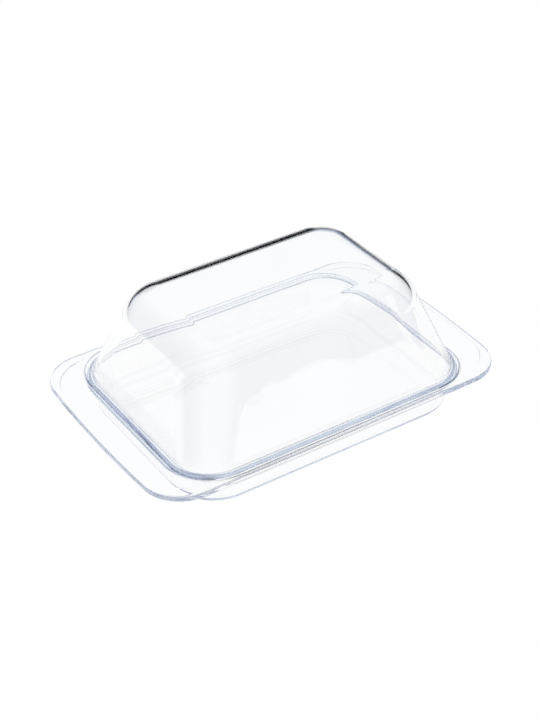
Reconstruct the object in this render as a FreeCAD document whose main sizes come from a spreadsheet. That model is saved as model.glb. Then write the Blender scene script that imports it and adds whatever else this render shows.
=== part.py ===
"""Clear glass butter dish: a shallow dish with a wide flange, and a loose domed lid.

Millimetres, +Z up. The origin is on the surface the dish stands on, under its middle.
X runs along the length of the dish, through its two end grips, and Y across it.
Every outline is centred on the origin, so the sheet gives full lengths and widths.
"""
import FreeCAD, Part
import math
import os
import re

import Sketcher
from FreeCAD import Vector

SIZES = {
    # Flange of the dish. All four sides of its outline bow outwards a little.
    "rim_length": 190.0,
    "rim_width": 124.0,
    "rim_corner": 20.3,
    "end_bow_radius": 670.0,
    "side_bow_radius": 5000.0,
    "rim_top": 19.7,
    "rim_thickness": 3.0,
    "rim_rounding": 0.9,
    # Raised border round each end grip. Along the sides it runs in to the lid's rebate.
    "border_end_width": 2.6,
    "border_side_width": 5.0,
    "border_corner": 22.0,
    "border_height": 0.5,
    "border_softening": 0.3,
    # Rebate round the mouth of the well, where the foot of the lid sits.
    "seat_depth": 1.5,
    "seat_gap": 0.4,
    "seat_softening": 0.4,
    # Well: its outer faces at the table, and how far the walls lean out from upright.
    "well_length": 148.0,
    "well_width": 107.2,
    "well_corner": 23.8,
    "well_end_lean": 10.5,
    "well_side_lean": 11.5,
    "well_wall": 2.45,
    "well_floor": 2.4,
    "well_outer_rounding": 5.5,
    "well_inner_rounding": 3.6,
    "mouth_rounding": 1.0,
    "root_rounding": 3.0,
    # Foot of the lid: a flat lip that rests in the rebate.
    "lip_length": 155.0,
    "lip_width": 116.8,
    "lip_corner": 21.5,
    "lip_thickness": 2.0,
    "lip_rounding": 0.6,
    # Dome of the lid: its outer faces at the foot, leaning in up to the flat top.
    "dome_length": 151.0,
    "dome_width": 111.6,
    "dome_corner": 19.8,
    "dome_corner_growth": 0.068,
    "dome_end_lean": 17.95,
    "dome_side_lean": 19.8,
    "dome_height": 49.1,
    "dome_wall": 2.45,
    "dome_roof": 2.3,
    "crown_radius": 18.5,
    "flare_radius": 2.6,
}

# Heights that several features share, as formulas of the names above.
RIM_UNDERSIDE = "rim_top - rim_thickness"
SEAT = "rim_top - seat_depth"
LIP_TOP = f"{SEAT} + lip_thickness"
LID_TOP = f"{SEAT} + dome_height"
CEILING = f"{LID_TOP} - dome_roof"

# A cutting shape starts this far outside the material, so that it cuts right through.
OVERCUT = 1.0

# Faces and heights that are closer together than this count as the same.
CLOSE = 1e-4

# The corners of an outline, anticlockwise from the one at +X +Y.
CORNERS = [(1, 1), (-1, 1), (-1, -1), (1, -1)]

doc = FreeCAD.newDocument("butter_dish")


def make_sheet():
    """Write the driving sizes into a spreadsheet, one row each, and name the cells."""
    sheet = doc.addObject("Spreadsheet::Sheet", "sizes")
    for row, (alias, size) in enumerate(SIZES.items(), start=1):
        sheet.set(f"A{row}", alias)
        sheet.set(f"B{row}", str(size))
        sheet.setAlias(f"B{row}", alias)
    doc.recompute()


def bound(formula):
    """Turn a formula of size names into an expression that reads the spreadsheet."""
    return re.sub(r"[a-z]+(?:_[a-z]+)+", lambda name: f"sizes.{name[0]}", formula)


def add_feature(body, kind, name, **settings):
    """Add a PartDesign feature to a body and set its properties."""
    feature = body.newObject(f"PartDesign::{kind}", name)
    for setting, value in settings.items():
        setattr(feature, setting, value)
    return feature


def add_sketch(body, name, height):
    """Start a flat sketch in a body, at a height given by a formula."""
    sketch = body.newObject("Sketcher::SketchObject", name)
    plane = next(part for part in body.Origin.OriginFeatures if part.Role == "XY_Plane")
    sketch.AttachmentSupport = [(plane, "")]
    sketch.MapMode = "FlatFace"
    sketch.setExpression("AttachmentOffset.Base.z", bound(height))
    return sketch


def constrain(sketch, *rule):
    return sketch.addConstraint(Sketcher.Constraint(*rule))


def dimension(sketch, name, formula, *rule):
    """Add a named dimension and bind it to a formula of sizes."""
    index = constrain(sketch, *rule)
    sketch.renameConstraint(index, name)
    sketch.setExpression(f"Constraints.{name}", bound(formula))


def add_arc(sketch, centre_x, centre_y, radius, start, end):
    """Add an arc from one angle to another, anticlockwise, and return its index."""
    circle = Part.Circle(Vector(centre_x, centre_y, 0), Vector(0, 0, 1), radius)
    return sketch.addGeometry(Part.ArcOfCircle(circle, start, end))


def join_smoothly(sketch, pieces):
    """Join the end of each piece of a closed outline to the start of the next."""
    for piece, following in zip(pieces, pieces[1:] + pieces[:1]):
        constrain(sketch, "Tangent", piece, 2, following, 1)


def rounded_rectangle(body, name, height, half_length, half_width, corner):
    """Sketch a rectangle with round corners, its sizes given by formulas."""
    sketch = add_sketch(body, name, height)
    # The first drawing is only rough: the dimensions below set the true sizes.
    x, y, radius = 75.0, 55.0, 20.0
    outline = []
    for quarter, (sign_x, sign_y) in enumerate(CORNERS):
        start = quarter * math.pi / 2
        centre = Vector(sign_x * (x - radius), sign_y * (y - radius), 0)
        outline.append(
            add_arc(sketch, centre.x, centre.y, radius, start, start + math.pi / 2)
        )
        next_x, next_y = CORNERS[(quarter + 1) % 4]
        if quarter % 2 == 0:
            ends = (Vector(centre.x, sign_y * y, 0), Vector(next_x * (x - radius), sign_y * y, 0))
        else:
            ends = (Vector(sign_x * x, centre.y, 0), Vector(sign_x * x, next_y * (y - radius), 0))
        outline.append(sketch.addGeometry(Part.LineSegment(*ends)))
    corners = outline[0::2]
    back, left, front, right = outline[1::2]
    join_smoothly(sketch, outline)
    for line in (back, front):
        constrain(sketch, "Horizontal", line)
    for line in (left, right):
        constrain(sketch, "Vertical", line)
    for other in corners[1:]:
        constrain(sketch, "Equal", corners[0], other)
    dimension(sketch, "corner", corner, "Radius", corners[0], radius)
    dimension(sketch, "right", half_length, "DistanceX", -1, 1, right, 1, x)
    dimension(sketch, "left", half_length, "DistanceX", left, 1, -1, 1, x)
    dimension(sketch, "back", half_width, "DistanceY", -1, 1, back, 1, y)
    dimension(sketch, "front", half_width, "DistanceY", front, 1, -1, 1, y)
    return sketch


def bowed_rectangle(body, name, height, end_inset, side_inset, corner):
    """Sketch the outline of the rim, moved inwards by two formulas. Its sides are long arcs."""
    sketch = add_sketch(body, name, height)
    x = SIZES["rim_length"] / 2
    y = SIZES["rim_width"] / 2
    radius = SIZES["rim_corner"]
    end_radius = SIZES["end_bow_radius"]
    side_radius = SIZES["side_bow_radius"]
    # Find where the corner centres go for the corners to touch both long arcs.
    corner_x = x - radius
    corner_y = y - radius
    for _ in range(20):
        corner_x = math.sqrt((end_radius - radius) ** 2 - corner_y**2) - (end_radius - x)
        corner_y = math.sqrt((side_radius - radius) ** 2 - corner_x**2) - (side_radius - y)
    end_angle = math.atan2(corner_y, corner_x + end_radius - x)
    side_angle = math.atan2(corner_x, corner_y + side_radius - y)
    outline = []
    for quarter, (sign_x, sign_y) in enumerate(CORNERS):
        start = quarter * math.pi / 2
        before, after = (end_angle, side_angle) if quarter % 2 == 0 else (side_angle, end_angle)
        outline.append(
            add_arc(
                sketch,
                sign_x * corner_x,
                sign_y * corner_y,
                radius,
                start + before,
                start + math.pi / 2 - after,
            )
        )
        middle = start + math.pi / 2
        if quarter % 2 == 0:
            centre = (0.0, -sign_y * (side_radius - y))
            long_radius = side_radius
        else:
            centre = (-sign_x * (end_radius - x), 0.0)
            long_radius = end_radius
        outline.append(
            add_arc(sketch, *centre, long_radius, middle - after, middle + after)
        )
    corners = outline[0::2]
    back, left, front, right = outline[1::2]
    join_smoothly(sketch, outline)
    for other in corners[1:]:
        constrain(sketch, "Equal", corners[0], other)
    constrain(sketch, "Equal", left, right)
    constrain(sketch, "Equal", front, back)
    for side in (left, right):
        constrain(sketch, "PointOnObject", side, 3, -1)
    for side in (front, back):
        constrain(sketch, "PointOnObject", side, 3, -2)
    dimension(sketch, "corner", corner, "Radius", corners[0], radius)
    dimension(sketch, "end", f"end_bow_radius - ({end_inset})", "Radius", right, end_radius)
    dimension(sketch, "side", f"side_bow_radius - ({side_inset})", "Radius", back, side_radius)
    end_centre = "end_bow_radius - rim_length / 2"
    side_centre = "side_bow_radius - rim_width / 2"
    dimension(sketch, "right", end_centre, "DistanceX", right, 3, -1, 1, end_radius - x)
    dimension(sketch, "left", end_centre, "DistanceX", -1, 1, left, 3, end_radius - x)
    dimension(sketch, "back", side_centre, "DistanceY", back, 3, -1, 1, side_radius - y)
    dimension(sketch, "front", side_centre, "DistanceY", -1, 1, front, 3, side_radius - y)
    return sketch


def well_outline(body, name, height, inset):
    """Sketch the section of the well at a height, moved inwards from its outer faces."""
    return rounded_rectangle(
        body,
        name,
        height,
        f"well_length / 2 + ({height}) * tan(well_end_lean * 1 deg) - ({inset})",
        f"well_width / 2 + ({height}) * tan(well_side_lean * 1 deg) - ({inset})",
        f"well_corner - ({inset})",
    )


def dome_outline(body, name, height, inset):
    """Sketch the section of the dome at a height above the dish's foot."""
    rise = f"({height} - ({SEAT}))"
    return rounded_rectangle(
        body,
        name,
        height,
        f"dome_length / 2 - {rise} * tan(dome_end_lean * 1 deg) - ({inset})",
        f"dome_width / 2 - {rise} * tan(dome_side_lean * 1 deg) - ({inset})",
        f"dome_corner + {rise} * dome_corner_growth - ({inset})",
    )


def loft(body, kind, name, sections):
    """Stretch straight walls between two sections, to add or to cut away."""
    feature = add_feature(
        body, f"{kind}Loft", name, Profile=sections[0], Sections=[sections[1]], Ruled=True
    )
    doc.recompute()
    return feature


def extrude(body, kind, name, sketch, length, upwards):
    """Pad or pocket a sketch by a length given by a formula."""
    feature = add_feature(body, kind, name, Profile=sketch)
    feature.setExpression("Length", bound(length))
    # A pad goes up unless it is reversed, and a pocket goes down.
    feature.Reversed = upwards != (kind == "Pad")
    doc.recompute()
    return feature


def height_of(formula):
    """Work out a height from the spreadsheet, through a property that can hold it."""
    probe = doc.addObject("App::FeaturePython", "probe")
    probe.addProperty("App::PropertyFloat", "height")
    probe.setExpression("height", bound(formula))
    doc.recompute()
    height = probe.height
    doc.removeObject(probe.Name)
    return height


def face_loop(shape, height, which):
    """Names of the edges round a level face: its outer loop, or the loop of its hole."""
    wires = [
        wire
        for face in shape.Faces
        if abs(face.BoundBox.ZMin - height) < CLOSE and abs(face.BoundBox.ZMax - height) < CLOSE
        for wire in face.Wires
    ]
    wires.sort(key=lambda wire: wire.BoundBox.XLength)
    chosen = wires[-1] if which == "outer" else wires[0]
    return [
        f"Edge{number}"
        for number, edge in enumerate(shape.Edges, start=1)
        if any(edge.isSame(other) for other in chosen.Edges)
    ]


def soften(body, name, loops, radius):
    """Round the loops of edges given as pairs of a height and which loop it is."""
    base = body.Tip
    edges = []
    for height, which in loops:
        edges += face_loop(base.Shape, height_of(height), which)
    feature = add_feature(body, "Fillet", name, Base=(base, sorted(set(edges))))
    feature.setExpression("Radius", bound(radius))
    doc.recompute()
    if feature.Shape.isNull():
        raise RuntimeError(f"{name} couldn't be rounded")
    return feature


def make_dish():
    """Build the dish: well, flange, border, rebate for the lid, and standing ring."""
    body = doc.addObject("PartDesign::Body", "dish_base")
    body.Label = "dish_base"
    well_sections = [
        well_outline(body, "well_foot", "0", "0"),
        well_outline(body, "well_head", "rim_top - rim_thickness / 2", "0"),
    ]
    loft(body, "Additive", "well", well_sections)
    rim_outline = bowed_rectangle(body, "rim_outline", RIM_UNDERSIDE, "0", "0", "rim_corner")
    extrude(body, "Pad", "flange", rim_outline, "rim_thickness", upwards=True)
    soften(body, "flange_root", [(RIM_UNDERSIDE, "inner")], "root_rounding")
    border_outline = bowed_rectangle(
        body, "border_outline", "rim_top", "border_end_width", "border_side_width", "border_corner"
    )
    extrude(body, "Pocket", "border_step", border_outline, "border_height", upwards=False)
    seat_outline = rounded_rectangle(
        body,
        "seat_outline",
        "rim_top",
        "lip_length / 2 + seat_gap",
        "lip_width / 2 + seat_gap",
        "lip_corner + seat_gap",
    )
    extrude(body, "Pocket", "seat", seat_outline, "seat_depth", upwards=False)
    cavity_sections = [
        well_outline(body, "cavity_mouth", f"{SEAT} + {OVERCUT}", "well_wall"),
        well_outline(body, "cavity_floor", "well_floor", "well_wall"),
    ]
    loft(body, "Subtractive", "cavity", cavity_sections)

    soften(body, "mouth", [(SEAT, "inner")], "mouth_rounding")
    soften(body, "floor_corner", [("well_floor", "outer")], "well_inner_rounding")
    soften(body, "foot_corner", [("0", "outer")], "well_outer_rounding")
    soften(body, "seat_corner", [(SEAT, "outer")], "seat_softening")
    soften(body, "border_edges", [("rim_top", "inner")], "border_softening")
    rim_edges = [("rim_top", "outer"), (RIM_UNDERSIDE, "outer")]
    soften(body, "rim_edges", rim_edges, "rim_rounding")
    return body


def make_lid():
    """Build the lid: a flat lip with a hollow dome on it."""
    body = doc.addObject("PartDesign::Body", "lid_cover")
    body.Label = "lid_cover"
    dome_sections = [
        dome_outline(body, "dome_foot", SEAT, "0"),
        dome_outline(body, "dome_head", LID_TOP, "0"),
    ]
    loft(body, "Additive", "dome", dome_sections)
    lip_outline = rounded_rectangle(
        body, "lip_outline", SEAT, "lip_length / 2", "lip_width / 2", "lip_corner"
    )
    extrude(body, "Pad", "lip", lip_outline, "lip_thickness", upwards=True)
    cavity_sections = [
        dome_outline(body, "inside_foot", f"{SEAT} - {OVERCUT}", "dome_wall"),
        dome_outline(body, "inside_head", CEILING, "dome_wall"),
    ]
    loft(body, "Subtractive", "inside", cavity_sections)
    soften(body, "inside_crown", [(CEILING, "outer")], "crown_radius - dome_roof")
    soften(body, "crown", [(LID_TOP, "outer")], "crown_radius")
    soften(body, "flare", [(LIP_TOP, "inner")], "flare_radius")
    lip_edges = [(LIP_TOP, "outer"), (SEAT, "outer"), (SEAT, "inner")]
    soften(body, "lip_edges", lip_edges, "lip_rounding")
    return body


def check(parts):
    """Stop if any feature failed, or if a part isn't one sound solid."""
    for thing in doc.Objects:
        if "Invalid" in thing.State or "Error" in thing.State:
            raise RuntimeError(f"{thing.Name} failed: {thing.State}")
    for part in parts:
        if part.Shape.isNull() or not part.Shape.isValid() or len(part.Shape.Solids) != 1:
            raise RuntimeError(f"{part.Label} isn't one sound solid")


make_sheet()
pieces = [make_dish(), make_lid()]
doc.recompute()
check(pieces)
os.makedirs("parts", exist_ok=True)
for piece in pieces:
    box = piece.Shape.BoundBox
    size = f"{box.XLength:.2f} x {box.YLength:.2f} x {box.ZLength:.2f} mm"
    print(f"{piece.Label}: {size}, {piece.Shape.Volume / 1000:.1f} cm3")
    piece.Shape.exportStep(f"parts/{piece.Label}.step")
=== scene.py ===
"""Clear glass butter dish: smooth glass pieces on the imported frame, studio and camera."""

import math

import bpy
from mathutils import Matrix, Vector


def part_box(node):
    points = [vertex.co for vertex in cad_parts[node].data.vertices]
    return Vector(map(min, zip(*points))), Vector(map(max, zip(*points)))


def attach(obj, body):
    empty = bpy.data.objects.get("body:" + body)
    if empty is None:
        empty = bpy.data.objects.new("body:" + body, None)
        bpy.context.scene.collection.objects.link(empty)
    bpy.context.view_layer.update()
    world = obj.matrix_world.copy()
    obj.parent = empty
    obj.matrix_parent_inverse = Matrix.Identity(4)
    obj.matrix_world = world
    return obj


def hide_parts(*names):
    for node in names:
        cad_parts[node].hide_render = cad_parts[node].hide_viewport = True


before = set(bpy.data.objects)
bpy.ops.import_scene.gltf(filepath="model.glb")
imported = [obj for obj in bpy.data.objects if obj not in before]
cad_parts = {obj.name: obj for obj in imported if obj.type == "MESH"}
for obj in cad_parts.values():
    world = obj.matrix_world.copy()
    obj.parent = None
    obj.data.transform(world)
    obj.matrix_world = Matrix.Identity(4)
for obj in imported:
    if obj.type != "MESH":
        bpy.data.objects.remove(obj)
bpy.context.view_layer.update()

# The shapes below are in millimetres, as in the CAD model. Meshes are made in metres.
MM = 0.001

# Side radius of an outline whose sides don't bow.
STRAIGHT = 1.0e7

# How finely an outline is divided.
CORNER_STEPS = 36
SIDE_STEPS = 30
END_STEPS = 20
# How often the place of an outline's corner is worked out again before it is exact.
CORNER_ROUNDS = 12

# Where rings divide a stretch of surface: more of them on a long stretch.
LONG_STRETCH = 8.0
LONG_SHARES = (0.02, 0.08, 0.2, 0.35, 0.5, 0.65, 0.8, 0.92, 0.98)
SHORT_STRETCH = 0.5
SHORT_SHARES = (0.1, 0.5, 0.9)

# How much smaller than the last ring of a surface the ring inside it is.
CAP_SCALE = 0.99

# Two directions whose cross product is smaller than this are parallel.
PARALLEL = 1e-12

WALL_THICKNESS = 2.45

# Heights in the dish.
WELL_FLOOR = 2.4
FLANGE_BOTTOM = 16.7
SEAT = 18.2
FLANGE_TOP = 19.2
RIM_TOP = 19.7

# Heights in the lid.
LIP_TOP = 20.2
CEILING = 65.0
CROWN = 67.3

# The ledge of the flange, and the border round it.
FLANGE_SOFTENING = 0.3
STEP_SOFTENING = 0.2
BORDER_END_WIDTH = 2.6
BORDER_SIDE_WIDTH = 5.0
BORDER_CORNER = 22.0
END_BOW = 670.0
SIDE_BOW = 5000.0
# The step of the border fades out where the ledge is narrower than this.
FADING_LEDGE = 0.8
# A ledge is at least this many times as wide as the rounding of its edge.
LEDGE_PER_ROUNDING = 2.5

# The lid touches the dish at a few high spots only, so there is air between the two.
AIR_GAP = 0.03

# The glass. Its density is per metre; the waves' height is in metres.
GLASS_INDEX = 1.5
GLASS_TINT = (0.45, 0.53, 0.72, 1.0)
GLASS_DENSITY = 2.5
WAVE_SCALE = 28.0
WAVE_DETAIL = 1.0
WAVE_STRENGTH = 0.3
WAVE_HEIGHT = 0.0006

WHITE = (1.0, 1.0, 1.0, 1.0)
BLACK = (0.0, 0.0, 0.0, 1.0)
DARK = (0.0, 0.0, 0.01, 1.0)
DIM = (0.14, 0.2, 0.4, 1.0)
HAZE = (0.55, 0.57, 0.7, 1.0)
PALE = (0.7, 0.7, 0.72, 1.0)

# Directions across the dish as the camera looks at it.
BACK = (0.5375, 0.8432, 0.0)
RIGHT = (0.8432, -0.5375, 0.0)
LEFT = (-0.8432, 0.5375, 0.0)

# Half the side of the floor, and how far it lies below the dish, in metres.
FLOOR_REACH = 3.0
FLOOR_DROP = 0.0005

# As the glass sees it, the white table ends this far behind the dish, in metres.
FLOOR_EDGE = ((0.32, WHITE), (0.4, DARK))
# A light strip of it carries on: shades across the strip, by metres to the right.
RUNNER = ((0.0, DARK), (0.02, PALE), (0.09, PALE), (0.12, DARK))

# The room as the glass sees it. It is pale blue all round, and each entry lays a shade
# over it: an axis, and steps of how far a place in the room lies along that axis.
ROOM = (0.78, 0.89, 0.95, 1.0)
ROOM_SHADES = (
    # A little dimmer low down behind the dish, and dark in the middle of that.
    ((0.5375, 0.8432, -2.0), ((0.1, WHITE), (0.8, HAZE))),
    ((0.4923, 0.8696, -0.0349), ((0.965, WHITE), (0.99, DARK))),
    # The dark cards behind, on the left and on the right.
    ((0.278, 0.9377, 0.2079), ((0.95, WHITE), (0.975, DARK))),
    ((0.9095, 0.4142, 0.0349), ((0.92, WHITE), (0.975, DARK))),
    # Dim to the right and to the left.
    (RIGHT, ((0.35, WHITE), (0.8, DIM))),
    (LEFT, ((0.35, WHITE), (0.8, DIM))),
)
# A white screen in front on the right: its sides along +X, and its near side along -Y.
SCREEN_SIDES = ((0.513, BLACK), (0.519, WHITE), (0.577, WHITE), (0.583, BLACK))
SCREEN_FRONT = ((0.3, BLACK), (0.31, WHITE))

# The camera: angles in degrees, distances in metres, lens and sensor in millimetres.
CAMERA_AZIMUTH = -32.51
CAMERA_ELEVATION = 34.83
CAMERA_ROLL = -1.25
CAMERA_TARGET = (-0.00121, -0.00048, 0.02425)
CAMERA_DISTANCE = 0.7276
CAMERA_LENS = 77.38
CAMERA_SENSOR = 36.0

# Light is followed this far, as it bounces many times inside the glass.
BOUNCES = 128


class Wall:
    """A wall that leans: its outline changes evenly with height, from a base height.

    growth is what the radius of its corners gains with each millimetre of height.
    """

    def __init__(self, half_sizes, corner, leans=(0.0, 0.0), growth=0.0, base=0.0, bows=None):
        self.half_sizes = half_sizes
        self.corner = corner
        self.slopes = [math.tan(math.radians(lean)) for lean in leans]
        self.growth = growth
        self.base = base
        self.bows = bows or (STRAIGHT, STRAIGHT)

    def reach(self, z, across):
        """Half-length (across 0) or half-width (across 1) at a height."""
        return self.half_sizes[across] + (z - self.base) * self.slopes[across]

    def corner_centre(self, z):
        radius = self.corner + (z - self.base) * self.growth
        return [self.reach(z, across) - radius for across in (0, 1)]

    def inset(self, distance):
        """The same wall moved inwards."""
        moved = Wall([half - distance for half in self.half_sizes], self.corner - distance)
        moved.slopes = self.slopes
        moved.growth = self.growth
        moved.base = self.base
        moved.bows = self.bows
        return moved


def outline(half_length, half_width, corner, bows):
    """Points round an outline, anticlockwise, as x, y and how far each faces across."""
    end_bow, side_bow = bows
    corner_x = half_length - corner
    corner_y = half_width - corner
    for _ in range(CORNER_ROUNDS):
        reach_x = math.sqrt((end_bow - corner) ** 2 - corner_y**2)
        corner_x = reach_x - (end_bow - half_length)
        reach_y = math.sqrt((side_bow - corner) ** 2 - corner_x**2)
        corner_y = reach_y - (side_bow - half_width)
    end_angle = math.atan2(corner_y, corner_x + end_bow - half_length)
    side_angle = math.atan2(corner_x, corner_y + side_bow - half_width)
    # One quarter from the +X axis to the +Y axis, then its mirror images.
    quarter = []
    for step in range(END_STEPS // 2):
        angle = end_angle * step / (END_STEPS // 2)
        x = half_length - end_bow + end_bow * math.cos(angle)
        quarter.append((x, end_bow * math.sin(angle), 0.0))
    for step in range(CORNER_STEPS + 1):
        share = step / CORNER_STEPS
        angle = end_angle + share * (math.pi / 2 - side_angle - end_angle)
        x = corner_x + corner * math.cos(angle)
        y = corner_y + corner * math.sin(angle)
        quarter.append((x, y, math.sin(share * math.pi / 2) ** 2))
    for step in range(1, SIDE_STEPS // 2 + 1):
        angle = side_angle * (1 - step / (SIDE_STEPS // 2))
        y = half_width - side_bow + side_bow * math.cos(angle)
        quarter.append((side_bow * math.sin(angle), y, 1.0))
    left = [(-x, y, facing) for x, y, facing in reversed(quarter[1:-1])]
    back = quarter + left + [(-quarter[0][0], 0.0, 0.0)]
    front = [(x, -y, facing) for x, y, facing in reversed(back[1:-1])]
    return back + front


class Station:
    """One ring of a surface: its reach and height at the ends and at the sides."""

    def __init__(self, reaches, heights, centre, bows):
        self.reaches = reaches
        self.heights = heights
        self.centre = centre
        self.bows = bows

    def ring(self):
        a, b = self.reaches
        corner = (a - self.centre[0] + b - self.centre[1]) / 2
        low, high = self.heights
        return [
            Vector((x, y, low + (high - low) * facing))
            for x, y, facing in outline(a, b, corner, self.bows)
        ]


def rounding(level, wall, radius, plane_way, wall_way, plane_first, steps):
    """Stations of the rounding between a level plane and a wall.

    plane_way is 1 where the plane runs outwards from the wall and -1 where it runs
    inwards. wall_way is 1 where the wall rises from the plane and -1 where it drops.
    """
    sections = []
    for across in (0, 1):
        vertex = Vector((wall.reach(level, across), level))
        along_plane = Vector((plane_way, 0.0))
        along_wall = Vector((wall.slopes[across], 1.0)).normalized() * wall_way
        half_angle = along_plane.angle(along_wall) / 2
        setback = radius / math.tan(half_angle)
        bisector = (along_plane + along_wall).normalized()
        centre = vertex + bisector * radius / math.sin(half_angle)
        from_plane = vertex + along_plane * setback - centre
        from_wall = vertex + along_wall * setback - centre
        turn = math.pi - 2 * half_angle
        points = []
        for step in range(steps + 1):
            share = step / steps
            weights = math.sin((1 - share) * turn), math.sin(share * turn)
            arm = (from_plane * weights[0] + from_wall * weights[1]) / math.sin(turn)
            points.append(centre + arm)
        sections.append(points)
    touch = (sections[0][-1].y + sections[1][-1].y) / 2
    centre = wall.corner_centre(touch)
    stations = [
        Station((end.x, side.x), (end.y, side.y), centre, wall.bows)
        for end, side in zip(*sections)
    ]
    return stations if plane_first else stations[::-1]


def between(first, last):
    """Rings that divide the stretch from one ring to another, closer near both ends."""
    gap = max((b - a).length for a, b in zip(first, last))
    if gap > LONG_STRETCH:
        shares = LONG_SHARES
    elif gap > SHORT_STRETCH:
        shares = SHORT_SHARES
    else:
        shares = ()
    return [[a.lerp(b, share) for a, b in zip(first, last)] for share in shares]


def surface(corners):
    """Rings of a surface that runs over a list of roundings.

    Each is a height, a wall, a radius, the plane's way, the wall's way and its steps.
    """
    rings = []
    for number, (level, wall, radius, plane_way, wall_way, steps) in enumerate(corners):
        plane_first = number % 2 == 0
        arc = rounding(level, wall, radius, plane_way, wall_way, plane_first, steps)
        arc_rings = [station.ring() for station in arc]
        if rings:
            rings += between(rings[-1], arc_rings[0])
        rings += arc_rings
    return rings


def glass_piece(name, node, body, rings):
    """Make a closed mesh from rings and put it in the place of a CAD node."""
    count = len(rings[0])
    caps = []
    for edge in (rings[0], rings[-1]):
        # A slightly smaller ring keeps the flat face inside the last rounding flat.
        keep_height = [Vector((0, 0, point.z * (1 - CAP_SCALE))) for point in edge]
        caps.append([point * CAP_SCALE + lift for point, lift in zip(edge, keep_height)])
    rings = [caps[0]] + rings + [caps[1]]
    points = [point * MM for ring in rings for point in ring]
    faces = [list(range(count)), list(range(len(points) - count, len(points)))[::-1]]
    for row in range(len(rings) - 1):
        start = row * count
        for column in range(count):
            following = (column + 1) % count
            above = start + count
            faces.append((start + following, start + column, above + column, above + following))
    mesh = bpy.data.meshes.new(name)
    mesh.from_pydata(points, [], faces)
    mesh.validate()
    mesh.shade_smooth()
    piece = bpy.data.objects.new(name, mesh)
    bpy.context.scene.collection.objects.link(piece)
    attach(piece, body)
    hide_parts(node)
    return piece


def crossing(start, end, fence):
    """Distance from start at which the line to end crosses a closed fence, or 0."""
    along = end - start
    for first, second in zip(fence, fence[1:] + fence[:1]):
        side = second - first
        spread = along.x * side.y - along.y * side.x
        if abs(spread) < PARALLEL:
            continue
        gap = first - start
        share = (gap.x * side.y - gap.y * side.x) / spread
        place = (gap.x * along.y - gap.y * along.x) / spread
        if 0 <= share <= 1 and 0 <= place <= 1:
            return share * along.xy.length
    return 0.0


def arc_points(centre, radius, start, end, steps):
    """Points on an arc in a section, angles in degrees."""
    turn = math.radians(end - start) / steps
    angles = [math.radians(start) + turn * step for step in range(steps + 1)]
    return [centre + Vector((math.cos(a), math.sin(a))) * radius for a in angles]


def flange_rings(seat_ring, rim_ring, border):
    """Rings from the lid's rebate up over the flange and the step of its border."""
    columns = []
    for seat, rim in zip(seat_ring, rim_ring):
        away = (rim - seat).xy
        ledge = crossing(seat.xy, rim.xy, border)
        # Where the border meets the rebate there is no ledge, and the wall is one step.
        fade = min(ledge / FADING_LEDGE, 1.0)
        fade = fade * fade * (3 - 2 * fade)
        soft = min(FLANGE_SOFTENING, ledge / LEDGE_PER_ROUNDING)
        lip = Vector((soft, FLANGE_TOP - soft))
        foot_x = max(ledge - STEP_SOFTENING, soft)
        foot = Vector((foot_x, FLANGE_TOP + STEP_SOFTENING))
        head = Vector((ledge + FLANGE_SOFTENING, RIM_TOP - FLANGE_SOFTENING))
        stepped = [Vector((0.0, seat.z)), Vector((0.0, lip.y))]
        stepped += arc_points(lip, soft, 180, 90, 5)[1:]
        flat = foot_x - soft
        stepped += [Vector((soft + flat * share, FLANGE_TOP)) for share in SHORT_SHARES]
        stepped += arc_points(foot, STEP_SOFTENING, -90, 0, 5)
        plain_steps = len(stepped)
        top = head.y - seat.z
        plain = [
            Vector((0.0, seat.z + top * step / (plain_steps - 1))) for step in range(plain_steps)
        ]
        path = [low.lerp(high, fade) for low, high in zip(plain, stepped)]
        path += arc_points(head, FLANGE_SOFTENING, 180, 90, 6)[1:]
        start = path[-1].x
        flat = away.length - start
        path += [Vector((start + flat * share, RIM_TOP)) for share in SHORT_SHARES]
        way = away.normalized()
        columns.append(
            [Vector((seat.x + way.x * p.x, seat.y + way.y * p.x, p.y)) for p in path[1:]]
        )
    return [list(ring) for ring in zip(*columns)]


def make_lid():
    dome = Wall((75.5, 55.8), 19.8, leans=(-17.95, -19.8), growth=0.068, base=SEAT)
    inside = dome.inset(WALL_THICKNESS)
    lip = Wall((77.5, 58.4), 21.5)
    rings = surface(
        [
            (CROWN, dome, 18.5, -1, -1, 28),
            (LIP_TOP, dome, 2.6, 1, 1, 10),
            (LIP_TOP, lip, 0.6, -1, -1, 6),
            (SEAT + AIR_GAP, lip, 0.6, -1, 1, 6),
            (SEAT + AIR_GAP, inside, 0.6, 1, 1, 6),
            (CEILING, inside, 16.2, -1, -1, 28),
        ]
    )
    return glass_piece("lid_glass", "lid_cover", "lid", rings)


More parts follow.
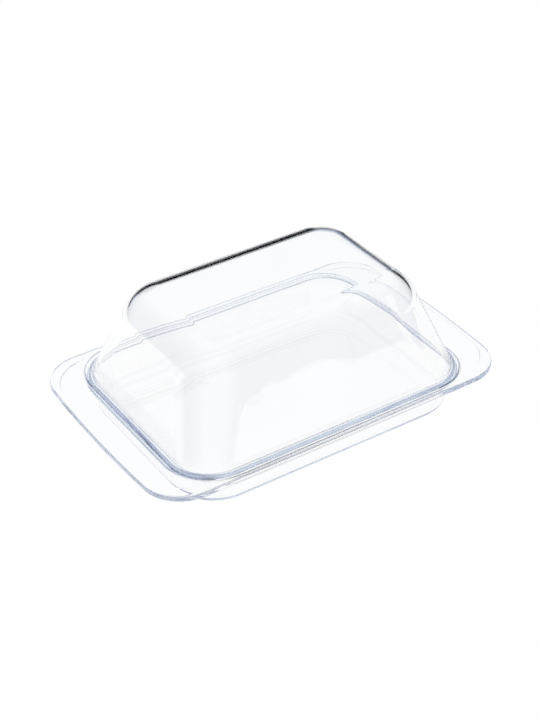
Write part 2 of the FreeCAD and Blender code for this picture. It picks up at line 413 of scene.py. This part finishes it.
def make_dish():
    rim_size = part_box("dish_base")[1] / MM
    rim = Wall((rim_size.x, rim_size.y), 20.3, bows=(END_BOW, SIDE_BOW))
    well = Wall((74.0, 53.6), 23.8, leans=(10.5, 11.5))
    inside = well.inset(WALL_THICKNESS)
    rebate = Wall((77.9, 58.8), 21.9)
    upper = surface(
        [
            (WELL_FLOOR, inside, 3.6, -1, 1, 14),
            (SEAT, inside, 1.0, 1, -1, 8),
            (SEAT, rebate, 0.4, -1, 1, 6),
        ]
    )
    lower = surface(
        [
            (RIM_TOP, rim, 0.9, -1, -1, 8),
            (FLANGE_BOTTOM, rim, 0.9, -1, 1, 8),
            (FLANGE_BOTTOM, well, 3.0, 1, -1, 10),
            (0.0, well, 5.5, -1, 1, 16),
        ]
    )
    border = outline(
        rim_size.x - BORDER_END_WIDTH,
        rim_size.y - BORDER_SIDE_WIDTH,
        BORDER_CORNER,
        (END_BOW - BORDER_END_WIDTH, SIDE_BOW - BORDER_SIDE_WIDTH),
    )
    fence = [Vector((x, y)) for x, y, _ in border]
    rings = upper + flange_rings(upper[-1], lower[0], fence) + lower
    return glass_piece("dish_glass", "dish_base", "dish", rings)


def make_glass():
    """Clear pressed glass: its surface is slightly wavy, and it is lavender where thick."""
    material = bpy.data.materials.new("clear_glass_looks")
    material.use_nodes = True
    nodes = material.node_tree.nodes
    links = material.node_tree.links
    shader = nodes["Principled BSDF"]
    shader.inputs["Base Color"].default_value = WHITE
    shader.inputs["Roughness"].default_value = 0.0
    shader.inputs["IOR"].default_value = GLASS_INDEX
    shader.inputs["Transmission Weight"].default_value = 1.0
    place = nodes.new("ShaderNodeTexCoord")
    waves = nodes.new("ShaderNodeTexNoise")
    waves.inputs["Scale"].default_value = WAVE_SCALE
    waves.inputs["Detail"].default_value = WAVE_DETAIL
    bump = nodes.new("ShaderNodeBump")
    bump.inputs["Strength"].default_value = WAVE_STRENGTH
    bump.inputs["Distance"].default_value = WAVE_HEIGHT
    links.new(place.outputs["Object"], waves.inputs["Vector"])
    links.new(waves.outputs["Fac"], bump.inputs["Height"])
    links.new(bump.outputs["Normal"], shader.inputs["Normal"])
    tint = nodes.new("ShaderNodeVolumeAbsorption")
    tint.inputs["Color"].default_value = GLASS_TINT
    tint.inputs["Density"].default_value = GLASS_DENSITY
    links.new(tint.outputs["Volume"], nodes["Material Output"].inputs["Volume"])
    return material


def show_white_to_camera(nodes, links, colour, target):
    """Give a socket a colour, or plain white where the camera sees it directly."""
    seen = nodes.new("ShaderNodeLightPath")
    mix = nodes.new("ShaderNodeMix")
    mix.data_type = "RGBA"
    mix.inputs["B"].default_value = WHITE
    links.new(seen.outputs["Is Camera Ray"], mix.inputs["Factor"])
    links.new(colour, mix.inputs["A"])
    links.new(mix.outputs["Result"], target)


def shade_along(nodes, links, place, axis, steps):
    """A shade that changes with how far a place lies along an axis, by steps of both."""
    facing = nodes.new("ShaderNodeVectorMath")
    facing.operation = "DOT_PRODUCT"
    facing.inputs[1].default_value = axis
    links.new(place, facing.inputs[0])
    shade = nodes.new("ShaderNodeValToRGB")
    marks = shade.color_ramp.elements
    while len(marks) < len(steps):
        marks.new(1.0)
    for mark, (position, colour) in zip(marks, steps):
        mark.position = position
        mark.color = colour
    links.new(facing.outputs["Value"], shade.inputs["Fac"])
    return shade.outputs["Color"]


def blend(nodes, links, kind, under, over):
    """Lay one colour over another; each is a value or the output of a node."""
    mix = nodes.new("ShaderNodeMix")
    mix.data_type = "RGBA"
    mix.blend_type = kind
    mix.inputs["Factor"].default_value = 1.0
    for socket, value in (("A", under), ("B", over)):
        if isinstance(value, bpy.types.NodeSocket):
            links.new(value, mix.inputs[socket])
        else:
            mix.inputs[socket].default_value = value
    return mix.outputs["Result"]


def make_floor():
    """A plain white table that glows evenly, so no shadow falls on it.

    The camera sees all of it white. The glass sees it end some way behind the dish,
    all but one light strip.
    """
    mesh = bpy.data.meshes.new("floor")
    corners = [(-1, -1), (1, -1), (1, 1), (-1, 1)]
    points = [(x * FLOOR_REACH, y * FLOOR_REACH, -FLOOR_DROP) for x, y in corners]
    mesh.from_pydata(points, [], [(0, 1, 2, 3)])
    floor = bpy.data.objects.new("floor", mesh)
    bpy.context.scene.collection.objects.link(floor)
    material = bpy.data.materials.new("floor_white")
    material.use_nodes = True
    nodes = material.node_tree.nodes
    links = material.node_tree.links
    shader = nodes["Principled BSDF"]
    shader.inputs["Base Color"].default_value = BLACK
    shader.inputs["Specular IOR Level"].default_value = 0.0
    shader.inputs["Emission Strength"].default_value = 1.0
    place = nodes.new("ShaderNodeTexCoord").outputs["Object"]
    edge = shade_along(nodes, links, place, BACK, FLOOR_EDGE)
    runner = shade_along(nodes, links, place, RIGHT, RUNNER)
    colour = blend(nodes, links, "LIGHTEN", edge, runner)
    show_white_to_camera(nodes, links, colour, shader.inputs["Emission Color"])
    mesh.materials.append(material)


def make_world():
    """A room that is white to the camera.

    The glass sees it pale, dim at the sides, with dark places behind the dish and a
    white screen in front.
    """
    world = bpy.data.worlds.new("studio")
    bpy.context.scene.world = world
    world.use_nodes = True
    nodes = world.node_tree.nodes
    links = world.node_tree.links
    place = nodes.new("ShaderNodeTexCoord").outputs["Generated"]
    sides = shade_along(nodes, links, place, (1.0, 0.0, 0.0), SCREEN_SIDES)
    front = shade_along(nodes, links, place, (0.0, -1.0, 0.0), SCREEN_FRONT)
    screen = blend(nodes, links, "MULTIPLY", sides, front)
    colour = ROOM
    for axis, steps in ROOM_SHADES:
        shade = shade_along(nodes, links, place, axis, steps)
        colour = blend(nodes, links, "MULTIPLY", colour, shade)
    # The screen comes last, so the dim sides don't darken it.
    colour = blend(nodes, links, "LIGHTEN", colour, screen)
    show_white_to_camera(nodes, links, colour, nodes["Background"].inputs["Color"])


def make_camera():
    """The camera looks down from the front left."""
    azimuth = math.radians(CAMERA_AZIMUTH)
    elevation = math.radians(CAMERA_ELEVATION)
    roll = math.radians(CAMERA_ROLL)
    target = Vector(CAMERA_TARGET)
    out = Vector(
        (
            math.sin(azimuth) * math.cos(elevation),
            -math.cos(azimuth) * math.cos(elevation),
            math.sin(elevation),
        )
    )
    right = (-out).cross(Vector((0, 0, 1))).normalized()
    up = out.cross(right)
    turned_right = right * math.cos(roll) + up * math.sin(roll)
    turned_up = up * math.cos(roll) - right * math.sin(roll)
    data = bpy.data.cameras.new("camera")
    data.sensor_fit = "VERTICAL"
    data.sensor_height = CAMERA_SENSOR
    data.lens = CAMERA_LENS
    camera = bpy.data.objects.new("camera", data)
    bpy.context.scene.collection.objects.link(camera)
    turn = Matrix((turned_right, turned_up, out)).transposed()
    place = Matrix.Translation(target + out * CAMERA_DISTANCE)
    camera.matrix_world = place @ turn.to_4x4()
    bpy.context.scene.camera = camera


glass = make_glass()
for piece in (make_dish(), make_lid()):
    piece.data.materials.append(glass)
make_floor()
make_world()
make_camera()

scene = bpy.context.scene
scene.view_settings.view_transform = "Standard"
scene.cycles.max_bounces = BOUNCES
scene.cycles.transmission_bounces = BOUNCES
scene.cycles.glossy_bounces = BOUNCES
